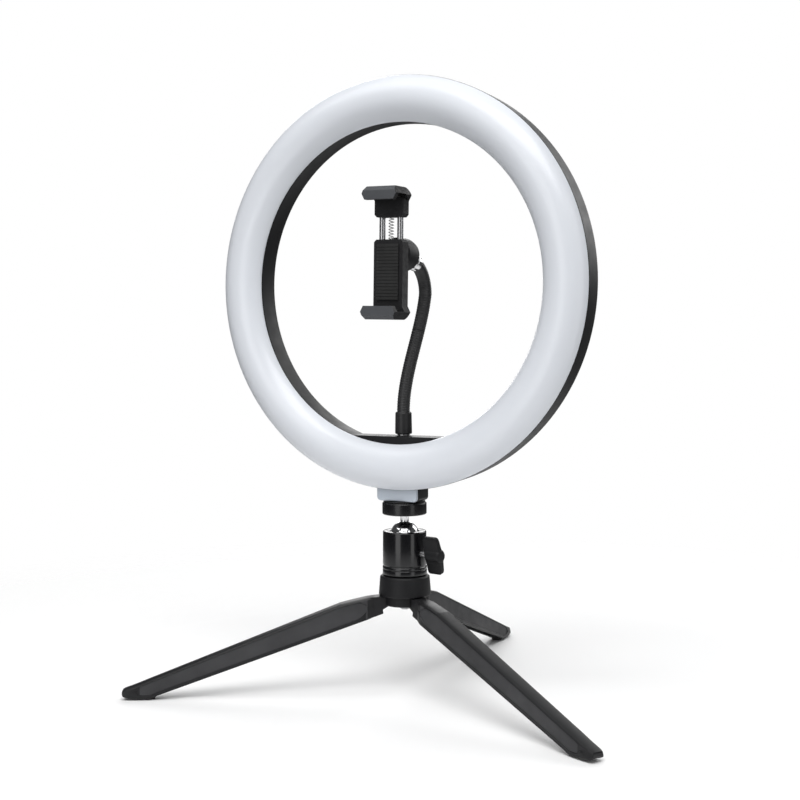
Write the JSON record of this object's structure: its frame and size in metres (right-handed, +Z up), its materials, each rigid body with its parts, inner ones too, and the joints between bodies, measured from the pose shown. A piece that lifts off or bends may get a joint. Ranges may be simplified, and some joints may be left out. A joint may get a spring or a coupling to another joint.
{
  "type": "ring light",
  "caption": "Tabletop ring light on a small folding tripod with a locking ball head, and a phone clamp on a bendable neck in the middle of the ring.",
  "frame": {"origin": "middle of the footprint's bounding box, on the floor the feet stand on", "axes": "+Z up, the ring's light side faces -Y, +X to the right seen from the light side"},
  "size_m": [0.3164, 0.2838, 0.3914],
  "materials": {
    "matte_black": "moulded matt black, slight sheen",
    "shell_black": "moulded satin black",
    "opal": "opal white, soft gloss",
    "gloss_black": "glossy black lacquer on turned metal",
    "nylon": "natural nylon",
    "chrome": "bright chrome plate",
    "steel": "plain steel",
    "brass": "turned brass",
    "rubber": "black rubber",
    "board": "white circuit board"
  },
  "bodies": {
    "tripod": {"hub": "matte_black", "collar": "matte_black", "centre_bolt": "steel", "pin_left": "steel", "pin_right": "steel", "pin_back": "steel"},
    "leg_left": {"leg_left": "matte_black", "foot_left": "rubber"},
    "leg_right": {"leg_right": "matte_black", "foot_right": "rubber"},
    "leg_back": {"leg_back": "matte_black", "foot_back": "rubber"},
    "head": {"head_housing": "gloss_black", "ball_seat": "nylon"},
    "lock": {"lock_knob": "matte_black", "lock_screw": "steel"},
    "ball": {"ball_stem": "chrome"},
    "disc": {"head_disc": "gloss_black", "disc_pad": "rubber"},
    "ring": {"rear_housing": "shell_black", "diffuser": "opal", "led_board": "board", "housing_screw_1": "steel", "housing_screw_2": "steel", "housing_screw_3": "steel", "housing_screw_4": "steel", "housing_screw_5": "steel", "housing_screw_6": "steel", "housing_screw_7": "steel", "housing_screw_8": "steel", "tab_insert": "brass", "shelf_insert": "brass", "neck_stud": "steel", "cable_gland": "rubber"},
    "neck_low": {"neck_sleeve": "matte_black", "neck_1": "rubber"},
    "neck_mid": {"neck_2": "rubber"},
    "neck_high": {"neck_3": "rubber"},
    "neck_top": {"neck_4": "rubber", "neck_ball_stud": "chrome"},
    "clamp_nut": {"socket_nut": "matte_black"},
    "clamp": {"clamp_body": "matte_black", "lower_pad": "rubber", "back_pad": "rubber", "clamp_spring": "steel"},
    "jaw": {"upper_jaw": "matte_black", "upper_pad": "rubber", "guide_rod_left": "steel", "guide_rod_right": "steel"}
  },
  "joints": [
    {"name": "leg_left_fold", "type": "hinge", "parent": "tripod", "child": "leg_left", "pos_m": [-0.01412, -0.04422, 0.0602], "axis": [0.553, -0.8332, 0], "range_deg": [0, 69]},
    {"name": "leg_right_fold", "type": "hinge", "parent": "tripod", "child": "leg_right", "pos_m": [0.00403, -0.04309, 0.0602], "axis": [0.4451, 0.8955, 0], "range_deg": [0, 69]},
    {"name": "leg_back_fold", "type": "hinge", "parent": "tripod", "child": "leg_back", "pos_m": [-0.00603, -0.02794, 0.0602], "axis": [-0.9981, -0.0623, 0], "range_deg": [0, 69]},
    {"name": "head_pan", "type": "hinge", "parent": "tripod", "child": "head", "pos_m": [-0.00537, -0.03841, 0.0904], "axis": [0, 0, 1], "continuous": true},
    {"name": "lock_turn", "type": "hinge", "parent": "head", "child": "lock", "pos_m": [-0.00537, -0.03841, 0.0904], "axis": [0.9816, -0.1908, 0], "continuous": true},
    {"name": "ball_tilt", "type": "hinge", "parent": "head", "child": "ball", "pos_m": [-0.00537, -0.03841, 0.1014], "axis": [1, 0, 0], "range_deg": [-45, 45]},
    {"name": "disc_turn", "type": "hinge", "parent": "ball", "child": "disc", "pos_m": [-0.00537, -0.03841, 0.119], "axis": [0, 0, 1], "continuous": true},
    {"name": "ring_swivel", "type": "hinge", "parent": "ball", "child": "ring", "pos_m": [-0.00537, -0.03841, 0.1268], "axis": [0, 0, 1], "continuous": true},
    {"name": "neck_turn", "type": "hinge", "parent": "ring", "child": "neck_low", "pos_m": [-0.00537, -0.03902, 0.17], "axis": [0, 0, 1], "range_deg": [-90, 90]},
    {"name": "neck_bend_low", "type": "hinge", "parent": "neck_low", "child": "neck_mid", "pos_m": [-0.00158, -0.03631, 0.21194], "axis": [1, 0, 0], "range_deg": [-20, 20]},
    {"name": "neck_bend_mid", "type": "hinge", "parent": "neck_mid", "child": "neck_high", "pos_m": [0.00616, -0.03079, 0.25325], "axis": [0, 1, 0], "range_deg": [-20, 20]},
    {"name": "neck_bend_high", "type": "hinge", "parent": "neck_high", "child": "neck_top", "pos_m": [0.00638, -0.03476, 0.26767], "axis": [1, 0, 0], "range_deg": [-20, 20]},
    {"name": "clamp_tilt", "type": "hinge", "parent": "neck_top", "child": "clamp_nut", "pos_m": [0.00638, -0.06023, 0.27878], "axis": [1, 0, 0], "range_deg": [-45, 15]},
    {"name": "clamp_roll", "type": "hinge", "parent": "clamp_nut", "child": "clamp", "pos_m": [0.00638, -0.06023, 0.27878], "axis": [0, 1, 0], "continuous": true},
    {"name": "jaw_slide", "type": "slide", "parent": "clamp", "child": "jaw", "axis": [0.0215, 0, 0.9998], "range_m": [-0.0122, 0.0178], "stiffness_N_per_m": 60, "springref_m": -0.0322, "deforming": ["clamp_spring"]}
  ]
}
